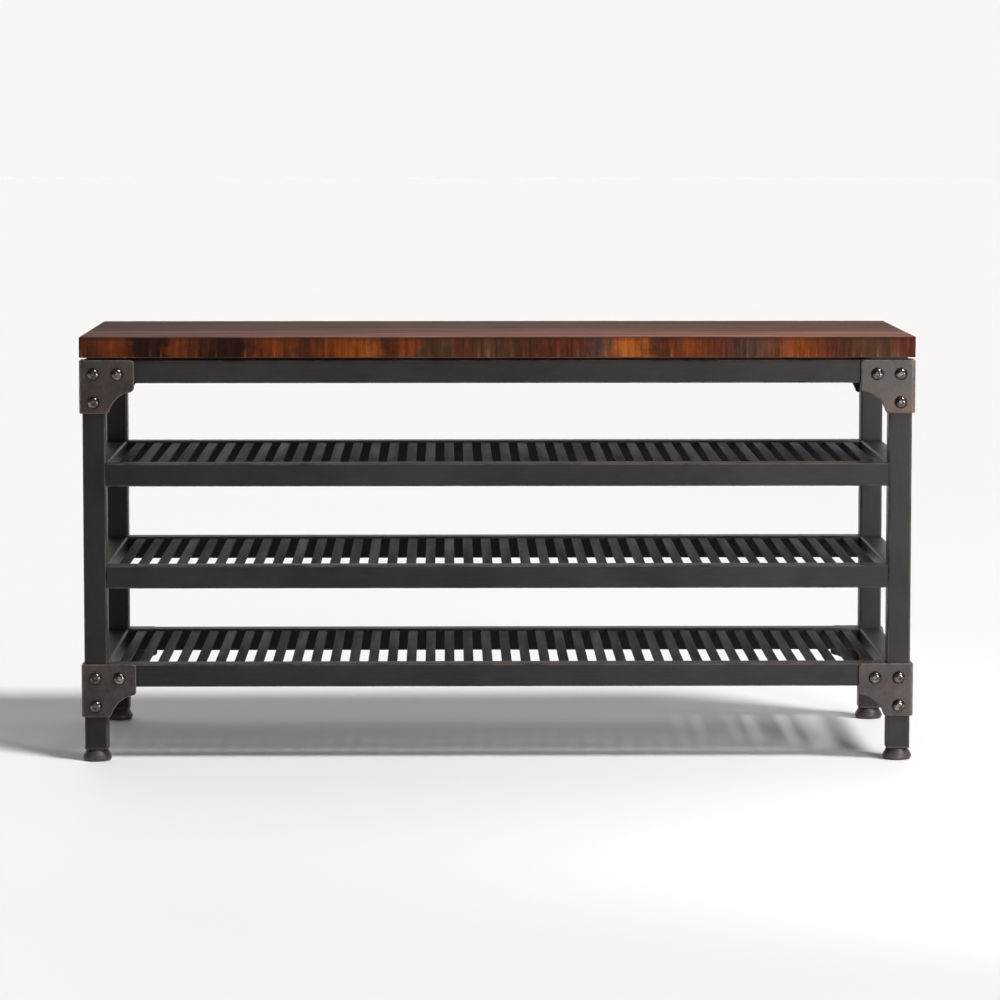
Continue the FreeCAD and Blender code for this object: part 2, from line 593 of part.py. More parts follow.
def domed_bolt():
    """A dome-head bolt with a hexagon socket, its shank along +Z from the underside of the head."""
    radius = size("bolt_head_radius")
    height = size("bolt_head_height")
    centre = FreeCAD.Vector(0, 0, 0)
    edge = FreeCAD.Vector(radius, 0, 0)
    rim = FreeCAD.Vector(radius, 0, -BOLT_RIM_DOWN * height)
    shoulder = FreeCAD.Vector(BOLT_DOME_OUT * radius, 0, -BOLT_DOME_DOWN * height)
    crown = FreeCAD.Vector(BOLT_SOCKET_FLATS / 2 + BOLT_LAND, 0, -height)
    centre_top = FreeCAD.Vector(0, 0, -height)
    section = Part.Wire([
        Part.makeLine(centre, edge),
        Part.makeLine(edge, rim),
        Part.Arc(rim, shoulder, crown).toShape(),
        Part.makeLine(crown, centre_top),
        Part.makeLine(centre_top, centre),
    ])
    head = Part.Face(section).revolve(centre, FreeCAD.Vector(0, 0, 1), 360)
    across = BOLT_SOCKET_FLATS / math.cos(math.pi / 6) / 2
    corners = []
    for i in range(7):
        angle = math.radians(60 * i)
        corners.append(FreeCAD.Vector(across * math.cos(angle), across * math.sin(angle), -height))
    socket = Part.Face(Part.makePolygon(corners)).extrude(FreeCAD.Vector(0, 0, height / 2))
    shank = Part.makeCylinder(size("bolt_radius"), size("bolt_length"))
    return head.cut(socket).fuse(shank)


def group(label, solids):
    """One node that holds several separate solids."""
    node = DOC.addObject("Part::Feature", label)
    node.Label = label
    node.Shape = Part.makeCompound(solids)
    node.Placement = FreeCAD.Placement()
    nodes.append(node)


def bracket_bolts(level, top):
    """The three bolts of each corner bracket at one level: two on the leg and one on the rail."""
    column = size("bolt_column")
    solids = []
    for corner, x_side, y_side, turn in CORNERS:
        for inward, down in [
            (column, size("bolt_row")),
            (size("bolt_reach"), size("bolt_row")),
            (column, size("bolt_drop")),
        ]:
            bolt = domed_bolt()
            bolt.rotate(FreeCAD.Vector(0, 0, 0), FreeCAD.Vector(1, 0, 0), 90 * y_side)
            x = x_side * (size("bench_width") / 2 - inward)
            y = y_side * size("bench_depth") / 2
            bolt.translate(FreeCAD.Vector(x, y, top - down))
            solids.append(bolt)
    group(level + "_bracket_bolts", solids)


def seat_screws():
    """Pan-head screws up through the two strips into the planks, two at each plank end."""
    shank_length = size("strip_thickness") + size("screw_bite")
    head_radius = size("screw_head_radius")
    end_radius = head_radius - size("screw_head_taper")
    down = FreeCAD.Vector(0, 0, -1)
    solids = []
    for x_side in (-1, 1):
        for row in ("middle_screw_y", "near_screw_y", "far_screw_y"):
            for y_hole in (-1, 1):
                at = FreeCAD.Vector(x_side * size("screw_x"), y_hole * size(row), size("frame_top"))
                shank = Part.makeCylinder(size("screw_radius"), shank_length, at)
                head = Part.makeCone(head_radius, end_radius, size("screw_head_height"), at, down)
                solids.append(shank.fuse(head))
    group("seat_screws", solids)


fill_sheet()
for corner in CORNERS:
    leg(*corner)
for level, height, bolted in LEVELS:
    for side in SIDES:
        rail(level, height, bolted, *side)
for corner in CORNERS:
    bracket("top", "frame_top", *corner)
    bracket("low", "low_top", *corner)
for level, height, bolted in LEVELS[1:]:
    slats(level, height)
for name, y_side, screw_rows in PLANKS:
    plank(name, y_side, screw_rows)
for side_name, x_side in (("left", -1), ("right", 1)):
    strip(side_name, x_side)
for corner, x_side, y_side, turn in CORNERS:
    end_insert(corner, x_side, y_side)
    foot(corner, x_side, y_side)
bracket_bolts("top", size("frame_top"))
bracket_bolts("low", size("low_top"))
seat_screws()

DOC.recompute()
for item in DOC.Objects:
    if "Invalid" in item.State or "Error" in item.State:
        raise RuntimeError("%s did not rebuild" % item.Label)
os.makedirs("parts", exist_ok=True)
for node in nodes:
    if node.Shape.isNull() or not node.Shape.isValid():
        raise RuntimeError("%s has no valid shape" % node.Label)
    node.Shape.exportStep("parts/%s.step" % node.Label)
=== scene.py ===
import math
import bpy
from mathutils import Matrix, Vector


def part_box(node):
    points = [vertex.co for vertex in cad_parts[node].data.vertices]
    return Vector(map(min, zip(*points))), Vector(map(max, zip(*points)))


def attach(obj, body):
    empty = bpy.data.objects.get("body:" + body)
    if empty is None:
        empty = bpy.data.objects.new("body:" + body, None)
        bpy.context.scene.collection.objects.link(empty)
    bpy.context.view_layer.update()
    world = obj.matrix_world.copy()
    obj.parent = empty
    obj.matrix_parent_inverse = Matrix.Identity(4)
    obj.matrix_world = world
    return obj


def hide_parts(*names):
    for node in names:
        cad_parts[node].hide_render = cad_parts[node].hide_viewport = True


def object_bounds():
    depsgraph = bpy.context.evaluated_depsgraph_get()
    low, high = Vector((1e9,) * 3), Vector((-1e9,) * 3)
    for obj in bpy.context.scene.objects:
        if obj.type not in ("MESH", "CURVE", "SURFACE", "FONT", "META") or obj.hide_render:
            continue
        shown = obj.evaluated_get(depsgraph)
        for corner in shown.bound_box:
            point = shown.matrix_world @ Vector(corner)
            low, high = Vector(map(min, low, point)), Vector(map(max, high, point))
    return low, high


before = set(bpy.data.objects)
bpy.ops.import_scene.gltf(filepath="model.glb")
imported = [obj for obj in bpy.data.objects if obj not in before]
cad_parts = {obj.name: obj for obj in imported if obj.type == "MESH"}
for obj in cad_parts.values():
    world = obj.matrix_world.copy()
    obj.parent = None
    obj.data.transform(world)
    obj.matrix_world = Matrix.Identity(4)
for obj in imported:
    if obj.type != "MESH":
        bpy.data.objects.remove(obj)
cad_low, cad_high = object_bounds()


# ---- Studio ------------------------------------------------------------------------------------
# A wide pale floor in front of a bright white backdrop that fades to dimmer room light behind the
# camera. One soft lamp hangs high in front of the bench and to its right, and a small one stands
# low in front of its right end. The camera stands well back and looks slightly down.
FLOOR_SIZE = 80
FLOOR_DULL = (0.905, 0.920, 0.945)
FLOOR_BRIGHT = (0.920, 0.936, 0.962)
ROOM_DIM = (0.135, 0.118, 0.104)
ROOM_SIDE = (0.49, 0.445, 0.405)
ROOM_WHITE = (0.93, 0.93, 0.93)
CAMERA_AT = (-0.0570, -4.9323, 0.7168)
CAMERA_LENS = 157.03
CAMERA_DOWN = 0.0898
CAMERA_TURN = 0.0125
CAMERA_SENSOR = 36.0
CAMERA_REACH = 200.0
KEY_FROM = (0.50, -0.46, 1.0)
KEY_STRENGTH = 2.79
KEY_SOFTNESS = math.radians(14)
KEY_COLOUR = (1.0, 0.985, 0.965)
SIDE_AT = (1.05, -1.55, 0.42)
SIDE_AIM = (0.50, 0.0, 0.33)
SIDE_SIZE = 0.5
SIDE_SPREAD = math.radians(100)
SIDE_POWER = 7.2
SIDE_COLOUR = (1.0, 0.97, 0.95)


def node(material, kind, inputs=None, **settings):
    """One shader node; an input given as a socket is linked, and any other value is set."""
    made = material.node_tree.nodes.new("ShaderNode" + kind)
    for name, value in settings.items():
        setattr(made, name, value)
    for socket, value in (inputs or {}).items():
        if isinstance(value, bpy.types.NodeSocket):
            material.node_tree.links.new(value, made.inputs[socket])
        else:
            made.inputs[socket].default_value = value
    return made


def new_finish(name):
    """A material, its surface shader and the place on the piece that its patterns follow."""
    material = bpy.data.materials.new(name)
    material.use_nodes = True
    shader = material.node_tree.nodes["Principled BSDF"]
    place = node(material, "TexCoord").outputs["Object"]
    return material, shader, place


def grain(material, place, cells, detail=4.0, roughness=0.55, distortion=0.0, at=(0, 0, 0)):
    """Noise with so many cells per metre along X, Y and Z."""
    spread = node(material, "Mapping", {"Vector": place, "Scale": cells, "Location": at})
    noise = node(material, "TexNoise", {
        "Vector": spread.outputs["Vector"], "Scale": 1.0, "Detail": detail,
        "Roughness": roughness, "Distortion": distortion,
    })
    return noise.outputs["Fac"]


def colours(material, amount, *stops):
    """A colour ramp from (position, colour) stops."""
    ramp = node(material, "ValToRGB", {"Fac": amount})
    while len(ramp.color_ramp.elements) < len(stops):
        ramp.color_ramp.elements.new(0.5)
    for element, (position, colour) in zip(ramp.color_ramp.elements, stops):
        element.position = position
        element.color = (*colour, 1.0)
    return ramp.outputs["Color"]


def levels(material, amount, low, high, out_low=0.0, out_high=1.0):
    """A number moved from one range to another and kept inside it."""
    moved = node(material, "MapRange", {
        "Value": amount, "From Min": low, "From Max": high, "To Min": out_low, "To Max": out_high,
    })
    return moved.outputs["Result"]


def into(material, shader, socket, value):
    """Link a pattern to one socket of the surface shader."""
    material.node_tree.links.new(value, shader.inputs[socket])


bpy.ops.object.select_all(action="DESELECT")
bpy.ops.mesh.primitive_plane_add(size=FLOOR_SIZE, location=(0, 0, cad_low.z))
floor = bpy.context.object
floor.name = "studio_floor"
floor_finish, floor_shader, floor_place = new_finish("pale_floor")
floor_tone = grain(floor_finish, floor_place, (1.5, 1.5, 1.5), detail=2)
into(floor_finish, floor_shader, "Base Color", colours(
    floor_finish, floor_tone, (0.0, FLOOR_DULL), (1.0, FLOOR_BRIGHT)))
floor_shader.inputs["Roughness"].default_value = 0.6
floor_shader.inputs["Specular IOR Level"].default_value = 0.2
floor.data.materials.append(floor_finish)

room = bpy.data.worlds.new("white_backdrop")
room.use_nodes = True
room_light = room.node_tree.nodes["Background"]
facing = node(room, "TexCoord").outputs["Generated"]
facing_parts = node(room, "SeparateXYZ", {0: facing})
behind_bench = levels(room, facing_parts.outputs[1], 0.10, 0.80)
room_tone = colours(room, behind_bench, (0.0, ROOM_DIM), (0.5, ROOM_SIDE), (1.0, ROOM_WHITE))
room.node_tree.links.new(room_tone, room_light.inputs["Color"])
bpy.context.scene.world = room
bpy.context.scene.view_settings.view_transform = "Standard"

key_light = bpy.data.lights.new("key_lamp", "SUN")
key_light.energy = KEY_STRENGTH
key_light.angle = KEY_SOFTNESS
key_light.color = KEY_COLOUR
key_lamp = bpy.data.objects.new("key_lamp", key_light)
key_lamp.location = KEY_FROM
key_lamp.rotation_euler = (-Vector(KEY_FROM)).to_track_quat("-Z", "Y").to_euler()
bpy.context.collection.objects.link(key_lamp)

side_light = bpy.data.lights.new("side_lamp", "AREA")
side_light.size = SIDE_SIZE
side_light.energy = SIDE_POWER
side_light.spread = SIDE_SPREAD
side_light.color = SIDE_COLOUR
side_lamp = bpy.data.objects.new("side_lamp", side_light)
side_lamp.location = SIDE_AT
side_lamp.rotation_euler = (Vector(SIDE_AIM) - Vector(SIDE_AT)).to_track_quat("-Z", "Y").to_euler()
bpy.context.collection.objects.link(side_lamp)

camera_data = bpy.data.cameras.new("camera")
camera_data.lens = CAMERA_LENS
camera_data.sensor_width = CAMERA_SENSOR
camera_data.clip_end = CAMERA_REACH
camera = bpy.data.objects.new("camera", camera_data)
camera.location = CAMERA_AT
camera.rotation_euler = (math.pi / 2 - CAMERA_DOWN, 0.0, -CAMERA_TURN)
bpy.context.collection.objects.link(camera)
bpy.context.scene.camera = camera


# ---- Tube frame --------------------------------------------------------------------------------
# Legs and rails are square steel tube, welded at the corners, under a dark gunmetal lacquer. It is
# cloudy and faintly brushed, and rubbed thin to warm brown metal along the rounded corners.
LACQUER_DARK = (0.0134, 0.0128, 0.0130)
LACQUER_LIGHT = (0.0280, 0.0269, 0.0272)
LACQUER_RUBBED = (0.092, 0.063, 0.051)
LACQUER_GLOSS = 0.37
LACQUER_DULL = 0.52
LACQUER_SHINE = 0.13
BRUSH_ACROSS = 700
BRUSH_ALONG = 45
BRUSH_DEPTH = 0.00006


def mixed(material, amount, one, other, way="MIX"):
    """Two colours mixed by an amount."""
    mix = node(material, "Mix", {0: amount, 6: one, 7: other}, data_type="RGBA", blend_type=way)
    return mix.outputs[2]


def maths(material, way, one, other=0.0):
    """One sum on two numbers."""
    return node(material, "Math", {0: one, 1: other}, operation=way).outputs[0]


def relief(material, shader, height, depth, strength=1.0):
    """Small height differences, in metres, on the whole surface."""
    bump = node(material, "Bump", {"Height": height, "Distance": depth, "Strength": strength})
    into(material, shader, "Normal", bump.outputs["Normal"])


def dress(material, *names):
    """Give CAD nodes a finish in every material slot."""
    for name in names:
        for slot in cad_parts[name].material_slots:
            slot.material = material


def rounded_edges(material, face, edge):
    """How far the surface turns from the flat faces: 0 on a face and 1 on a rounded edge."""
    normal = node(material, "TexCoord").outputs["Normal"]
    parts = node(material, "SeparateXYZ", {0: normal})
    sizes = [maths(material, "ABSOLUTE", parts.outputs[axis]) for axis in range(3)]
    widest = maths(material, "MAXIMUM", maths(material, "MAXIMUM", sizes[0], sizes[1]), sizes[2])
    return levels(material, widest, face, edge)


def lacquered_steel(name, along, dark, light, rubbed, dull, gloss):
    """Lacquered steel: soft clouding, fine brushing along one axis, specks and rubbed edges."""
    material, shader, place = new_finish(name)
    cloud = grain(material, place, (6, 6, 6), detail=6, roughness=0.62)
    lines = [BRUSH_ACROSS] * 3
    lines[along] = BRUSH_ALONG
    brushed = grain(material, place, lines, detail=3, roughness=0.6)
    speck = grain(material, place, (240, 240, 240), detail=4, roughness=0.7)
    tone = maths(material, "ADD", maths(material, "MULTIPLY", cloud, 0.75),
                 maths(material, "MULTIPLY", brushed, 0.25))
    base = colours(material, tone, (0.34, dark), (0.66, light))
    rub = levels(material, grain(material, place, (31, 31, 31), detail=5, roughness=0.7), 0.34, 0.60)
    edge = maths(material, "MULTIPLY", rounded_edges(material, 0.995, 0.86), rub)
    into(material, shader, "Base Color", mixed(material, edge, base, (*rubbed, 1.0)))
    smear = maths(material, "ADD", maths(material, "MULTIPLY", cloud, 0.6),
                  maths(material, "MULTIPLY", speck, 0.4))
    into(material, shader, "Roughness", levels(material, smear, 0.35, 0.65, gloss, dull))
    shader.inputs["Specular IOR Level"].default_value = LACQUER_SHINE
    relief(material, shader, maths(material, "ADD", brushed, speck), BRUSH_DEPTH, 0.7)
    return material


long_rail_finish, side_rail_finish, leg_finish = [
    lacquered_steel(name, along, LACQUER_DARK, LACQUER_LIGHT, LACQUER_RUBBED,
                    LACQUER_DULL, LACQUER_GLOSS)
    for along, name in enumerate(("gunmetal_long_rails", "gunmetal_side_rails", "gunmetal_legs"))
]
corners = ("front_left", "front_right", "back_left", "back_right")
dress(leg_finish, *["leg_" + corner for corner in corners])
for level in ("top", "high_shelf", "middle_shelf", "low_shelf"):
    dress(long_rail_finish, level + "_rail_front", level + "_rail_back")
    dress(side_rail_finish, level + "_rail_left", level + "_rail_right")
dress(side_rail_finish, "seat_strip_left", "seat_strip_right")


# ---- Shelf slats -------------------------------------------------------------------------------
# Thin flat steel bars welded between the front and back rails of each shelf. Their lacquer is a
# browner, duller tone than the tube, brushed along each bar and rusty where the ends are welded.
SLAT_DARK = (0.008, 0.0070, 0.0056)
SLAT_MIDDLE = (0.016, 0.0130, 0.0100)
SLAT_LIGHT = (0.032, 0.0235, 0.0175)
SLAT_RUST = (0.070, 0.040, 0.028, 1.0)
SLAT_SHINE = 0.03
SLAT_BRUSH_DEPTH = 0.00008
WELD_RUST_FROM = 0.095
WELD_RUST_FULL = 0.149


def bronze_slat():
    """Dull brown lacquer, a little different from bar to bar, with rust towards the welds."""
    material, shader, place = new_finish("bronze_slat_lacquer")
    bar = grain(material, place, (47, 3, 47), detail=2, roughness=0.5)
    brushed = grain(material, place, (900, 30, 900), detail=3, roughness=0.6)
    tone = maths(material, "ADD", maths(material, "MULTIPLY", bar, 0.7),
                 maths(material, "MULTIPLY", brushed, 0.3))
    base = colours(material, tone, (0.36, SLAT_DARK), (0.50, SLAT_MIDDLE), (0.64, SLAT_LIGHT))
    depth = node(material, "SeparateXYZ", {0: place}).outputs[1]
    near_end = levels(material, maths(material, "ABSOLUTE", depth), WELD_RUST_FROM, WELD_RUST_FULL)
    blotch = levels(material, grain(material, place, (60, 40, 60), detail=5, roughness=0.7), 0.38, 0.62)
    rusty = maths(material, "MULTIPLY", near_end, blotch)
    into(material, shader, "Base Color", mixed(material, rusty, base, SLAT_RUST))
    into(material, shader, "Roughness", levels(material, tone, 0.35, 0.65, 0.62, 0.45))
    shader.inputs["Specular IOR Level"].default_value = SLAT_SHINE
    relief(material, shader, brushed, SLAT_BRUSH_DEPTH, 0.7)
    return material


dress(bronze_slat(), "high_shelf_slats", "middle_shelf_slats", "low_shelf_slats")


# ---- Corner brackets ---------------------------------------------------------------------------
# Steel gusset plates with a return bent round the leg, bolted over each upper and lower corner.
# Dark iron with a brown bloom of rust, most of it low on the top brackets, rubbed along the bends.
IRON_DARK = (0.017, 0.0145, 0.0140)
IRON_MIDDLE = (0.031, 0.0265, 0.0250)
IRON_LIGHT = (0.056, 0.0465, 0.0415)
IRON_RUST = (0.072, 0.036, 0.025, 1.0)
IRON_RUBBED = (0.17, 0.145, 0.135, 1.0)
IRON_METAL = 0.25
IRON_SHINE = 0.40
IRON_PITS = 0.00018
TOP_ARM_FROM = 0.412
TOP_ARM_FULL = 0.388
LOW_BRACKETS_BELOW = 0.30
TOP_BRACKETS_ABOVE = 0.32


def aged_iron():
    """Clouded dark iron with blooms of rust, the strongest on the lower arm of a top bracket."""
    material, shader, place = new_finish("aged_bracket_iron")
    cloud = grain(material, place, (26, 26, 26), detail=6, roughness=0.66)
    fine = grain(material, place, (190, 190, 190), detail=4, roughness=0.7)
    tone = maths(material, "ADD", maths(material, "MULTIPLY", cloud, 0.7),
                 maths(material, "MULTIPLY", fine, 0.3))
    base = colours(material, tone, (0.36, IRON_DARK), (0.50, IRON_MIDDLE), (0.64, IRON_LIGHT))
    bloom = levels(material, grain(material, place, (17, 17, 17), detail=7, roughness=0.72,
                                   at=(3.1, 1.7, 0.4)), 0.55, 0.70)
    height = node(material, "SeparateXYZ", {0: place}).outputs[2]
    below_bolts = levels(material, height, TOP_ARM_FROM, TOP_ARM_FULL)
    low_arm = maths(material, "MULTIPLY", below_bolts, levels(
        material, height, LOW_BRACKETS_BELOW, TOP_BRACKETS_ABOVE))
    arm_rust = maths(material, "MULTIPLY", low_arm, levels(material, cloud, 0.35, 0.60, 0.3, 1.0))
    bloom = maths(material, "MAXIMUM", bloom, arm_rust)
    rusty = mixed(material, bloom, base, IRON_RUST)
    edge = maths(material, "MULTIPLY", rounded_edges(material, 0.99, 0.72), levels(
        material, fine, 0.30, 0.55))
    into(material, shader, "Base Color", mixed(material, edge, rusty, IRON_RUBBED))
    into(material, shader, "Roughness", levels(material, tone, 0.35, 0.65, 0.34, 0.54))
    shader.inputs["Metallic"].default_value = IRON_METAL
    shader.inputs["Specular IOR Level"].default_value = IRON_SHINE
    relief(material, shader, fine, IRON_PITS, 0.8)
    return material


bracket_iron = aged_iron()
for level in ("top", "low"):
    dress(bracket_iron, *[level + "_bracket_" + corner for corner in corners])


# ---- Bracket bolts -----------------------------------------------------------------------------
# M8 dome-head bolts with a hexagon socket, three through each bracket. Blackened steel, unevenly
# polished in patches.
BOLT_RINGS = ((0.0068, 0.0), (0.0068, 0.0013), (0.0065, 0.0025), (0.0058, 0.0036), (0.0049, 0.0044),
              (0.0038, 0.0049))
BOLT_CROWN = 0.0052
BOLT_SOCKET = 0.00289
BOLT_SOCKET_DEPTH = 0.0026
BOLT_SHANK = (0.00395, 0.0098)
BOLT_COLUMN = 0.0159
BOLT_REACH = 0.0418
BOLT_ROW = 0.0155
BOLT_DROP = 0.0464
BOLT_TURN = math.radians(23)
BOLT_DARK = (0.036, 0.030, 0.028)
BOLT_MIDDLE = (0.105, 0.092, 0.087)
BOLT_BRIGHT = (0.30, 0.28, 0.27)
BOLT_PITS = 0.00004
SCREW_DARK = (0.16, 0.155, 0.15)
SCREW_LIGHT = (0.30, 0.29, 0.28)
SCREW_RUBBED = (0.42, 0.41, 0.40)
SCREW_GLOSS = 0.34
SCREW_DULL = 0.48
NEAR = 1e-5


def pick_edges(test):
    """Select only the edges of the edited mesh whose middle and run pass a test."""
    edited = bpy.context.object
    bpy.ops.mesh.select_mode(type="EDGE")
    bpy.ops.mesh.select_all(action="DESELECT")
    bpy.ops.object.mode_set(mode="OBJECT")
    vertices = edited.data.vertices
    for edge in edited.data.edges:
        one, other = (vertices[i].co for i in edge.vertices)
        edge.select = test((one + other) / 2, other - one)
    bpy.ops.object.mode_set(mode="EDIT")


def settle(piece, name, material, angle):
    """Put a finished piece's place into its mesh, smooth its curves and give it its finish."""
    bpy.ops.object.mode_set(mode="OBJECT")
    bpy.ops.object.transform_apply(location=True, rotation=True, scale=True)
    bpy.ops.object.shade_smooth_by_angle(angle=math.radians(angle))
    piece.name = name
    piece.data.name = name
    piece.data.materials.clear()
    piece.data.materials.append(material)


def bolt_model():
    """One bolt standing on the origin, its dome up and its shank down."""
    bpy.ops.object.select_all(action="DESELECT")
    radius, base = BOLT_RINGS[0]
    bpy.ops.mesh.primitive_circle_add(vertices=24, radius=radius, fill_type="NOTHING")
    bolt = bpy.context.object
    bpy.ops.object.mode_set(mode="EDIT")
    for (before, low), (after, high) in zip(BOLT_RINGS, BOLT_RINGS[1:]):
        bpy.ops.mesh.extrude_region_move(TRANSFORM_OT_translate={"value": (0, 0, high - low)})
        bpy.ops.transform.resize(value=(after / before, after / before, 1))
    bpy.ops.mesh.primitive_circle_add(vertices=6, radius=BOLT_SOCKET, fill_type="NOTHING",
                                      location=(0, 0, BOLT_CROWN))
    crown = BOLT_RINGS[-1][1]
    pick_edges(lambda middle, run: middle.z > crown - NEAR and abs(run.z) < NEAR)
    bpy.ops.mesh.bridge_edge_loops()
    pick_edges(lambda middle, run: middle.z > BOLT_CROWN - NEAR)
    bpy.ops.mesh.extrude_region_move(TRANSFORM_OT_translate={"value": (0, 0, -BOLT_SOCKET_DEPTH)})
    bpy.ops.mesh.edge_face_add()
    pick_edges(lambda middle, run: abs(middle.z) < NEAR and abs(run.z) < NEAR)
    bpy.ops.mesh.extrude_region_move(TRANSFORM_OT_translate={"value": (0, 0, 0)})
    shank, length = BOLT_SHANK
    bpy.ops.transform.resize(value=(shank / radius, shank / radius, 1))
    bpy.ops.mesh.extrude_region_move(TRANSFORM_OT_translate={"value": (0, 0, -length)})
    bpy.ops.mesh.edge_face_add()
    bpy.ops.mesh.select_all(action="SELECT")
    bpy.ops.mesh.remove_doubles(threshold=1e-6)
    bpy.ops.mesh.normals_make_consistent(inside=False)
    bpy.ops.object.mode_set(mode="OBJECT")
    return bolt


def polished_bolt():
    """Blackened steel, unevenly polished."""
    material, shader, place = new_finish("blackened_bolt_steel")
    smear = grain(material, place, (120, 120, 120), detail=5, roughness=0.65)
    fine = grain(material, place, (800, 800, 800), detail=2)
    into(material, shader, "Base Color", colours(
        material, smear, (0.34, BOLT_DARK), (0.50, BOLT_MIDDLE), (0.66, BOLT_BRIGHT)))
    into(material, shader, "Roughness", levels(material, smear, 0.3, 0.7, 0.30, 0.17))
    shader.inputs["Metallic"].default_value = 1.0
    relief(material, shader, fine, BOLT_PITS, 0.6)
    return material


bolt_steel = polished_bolt()
bolt_pattern = bolt_model()
for level in ("top", "low"):
    for corner in corners:
        low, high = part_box(level + "_bracket_" + corner)
        front = corner.startswith("front")
        left = corner.endswith("left")
        outer_x = low.x if left else high.x
        face_y = low.y if front else high.y
        inward = 1 if left else -1
        for number, (across, down) in enumerate(
                ((BOLT_COLUMN, BOLT_ROW), (BOLT_REACH, BOLT_ROW), (BOLT_COLUMN, BOLT_DROP)), 1):
            bolt = bolt_pattern.copy()
            bolt.data = bolt_pattern.data.copy()
            bpy.context.collection.objects.link(bolt)
            bpy.ops.object.select_all(action="DESELECT")
            bpy.context.view_layer.objects.active = bolt
            bolt.select_set(True)
            bolt.location = (outer_x + inward * across, face_y, high.z - down)
            turned = math.pi / 2 if front else -math.pi / 2
            bolt.rotation_euler = (turned, BOLT_TURN * number * inward, 0)
            settle(bolt, "%s_%s_bolt_%d" % (level, corner, number), bolt_steel, 40)
            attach(bolt, "frame")
            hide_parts(level + "_bracket_bolts")
bpy.data.objects.remove(bolt_pattern)

screw_finish = lacquered_steel("dull_screw_zinc", 2, SCREW_DARK, SCREW_LIGHT, SCREW_RUBBED,
                               SCREW_DULL, SCREW_GLOSS)
dress(screw_finish, "seat_screws", *["foot_stem_" + corner for corner in corners])


# ---- Feet --------------------------------------------------------------------------------------
# Levelling feet: a flared pad of dark moulded plastic on a threaded stem, which turns in a plastic
# insert pushed into the end of the leg. The pads are scuffed brown round their widest part.
FOOT_PROFILE = ((0.0122, 0.0), (0.0146, 0.0007), (0.0157, 0.0024), (0.0158, 0.0048), (0.0150, 0.0070),
                (0.0137, 0.0090), (0.0128, 0.0106), (0.0123, 0.0118), (0.0112, 0.0129))
FOOT_SEAT = 0.0030
FOOT_SEAT_DOWN = 0.0006
FOOT_DARK = (0.024, 0.0195, 0.0185)
FOOT_MIDDLE = (0.050, 0.041, 0.038)
FOOT_SCUFFED = (0.115, 0.095, 0.084)
FOOT_SHINE = 0.40
FOOT_PITS = 0.00015
SCUFF_FROM = 0.011
SCUFF_FULL = 0.003


def foot_finish():
    """Pitted dark plastic, scuffed paler towards the floor."""
    material, shader, place = new_finish("scuffed_foot_plastic")
    pitted = grain(material, place, (420, 420, 420), detail=3)
    scuff = grain(material, place, (55, 55, 210), detail=6, roughness=0.7)
    height = node(material, "SeparateXYZ", {0: place}).outputs[2]
    low_down = levels(material, height, SCUFF_FROM, SCUFF_FULL)
    worn = maths(material, "MULTIPLY", levels(material, scuff, 0.40, 0.66), maths(
        material, "ADD", maths(material, "MULTIPLY", low_down, 0.6), 0.4))
    into(material, shader, "Base Color", colours(
        material, worn, (0.0, FOOT_DARK), (0.6, FOOT_MIDDLE), (1.0, FOOT_SCUFFED)))
    into(material, shader, "Roughness", levels(material, scuff, 0.3, 0.7, 0.36, 0.56))
    shader.inputs["Specular IOR Level"].default_value = FOOT_SHINE
    relief(material, shader, maths(material, "ADD", pitted, scuff), FOOT_PITS, 0.7)
    return material


foot_plastic = foot_finish()
bpy.ops.object.select_all(action="DESELECT")
bpy.ops.mesh.primitive_circle_add(vertices=48, radius=FOOT_PROFILE[0][0], fill_type="NGON")
pad_pattern = bpy.context.object
bpy.ops.object.mode_set(mode="EDIT")
for (before, low), (after, high) in zip(FOOT_PROFILE, FOOT_PROFILE[1:]):
    bpy.ops.mesh.extrude_region_move(TRANSFORM_OT_translate={"value": (0, 0, high - low)})
    bpy.ops.transform.resize(value=(after / before, after / before, 1))
bpy.ops.mesh.inset(thickness=FOOT_SEAT)
bpy.ops.transform.translate(value=(0, 0, -FOOT_SEAT_DOWN))
bpy.ops.mesh.select_all(action="SELECT")
bpy.ops.mesh.normals_make_consistent(inside=False)
bpy.ops.object.mode_set(mode="OBJECT")
for corner in corners:
    low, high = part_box("foot_pad_" + corner)
    pad = pad_pattern.copy()
    pad.data = pad_pattern.data.copy()
    bpy.context.collection.objects.link(pad)
    bpy.ops.object.select_all(action="DESELECT")
    bpy.context.view_layer.objects.active = pad
    pad.select_set(True)
    pad.location = ((low.x + high.x) / 2, (low.y + high.y) / 2, low.z)
    settle(pad, corner + "_foot", foot_plastic, 40)
    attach(pad, "foot_" + corner)
    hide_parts("foot_pad_" + corner)
bpy.data.objects.remove(pad_pattern)
dress(foot_plastic, *["leg_insert_" + corner for corner in corners])


# ---- Seat planks -------------------------------------------------------------------------------
# Three thick planks edge to edge, sawn from reclaimed wood and stained a dull red-brown. Their top
# has painted shade towards the left end and painted light towards the right end, as light falls
# from the right. The grain runs along the top; the long edges show blotches of different stain with
# upright saw marks and a few chips along the bottom. Screwed up from the strips below.
EDGE_SPACING = 0.007
ARRIS = 0.0013
END_ROUND = 0.0030
SEAM = 0.0007
UNEVEN = 0.00025
UNEVEN_SPREAD = 0.018
SAW_STREAK_TOP = 0.013
SAW_STREAK_LOW = 0.0215
SAW_STREAK = (0.23, 0.115, 0.055, 1.0)
SOOT_LOW = 0.006
SOOT_TOP = 0.0015
SOOT = (0.016, 0.0075, 0.0055, 1.0)
BARE_WOOD = (0.20, 0.135, 0.085, 1.0)
WORN_ARRIS = (0.055, 0.020, 0.012, 1.0)
# Painted light on the plank tops: the colour is multiplied darker at the left end and paler at the
# right end.
PAINTED_LIGHT_FROM = -0.32
PAINTED_LIGHT_FULL = 0.42
PAINTED_SHADE_LEFT = (0.58, 0.62, 0.65)
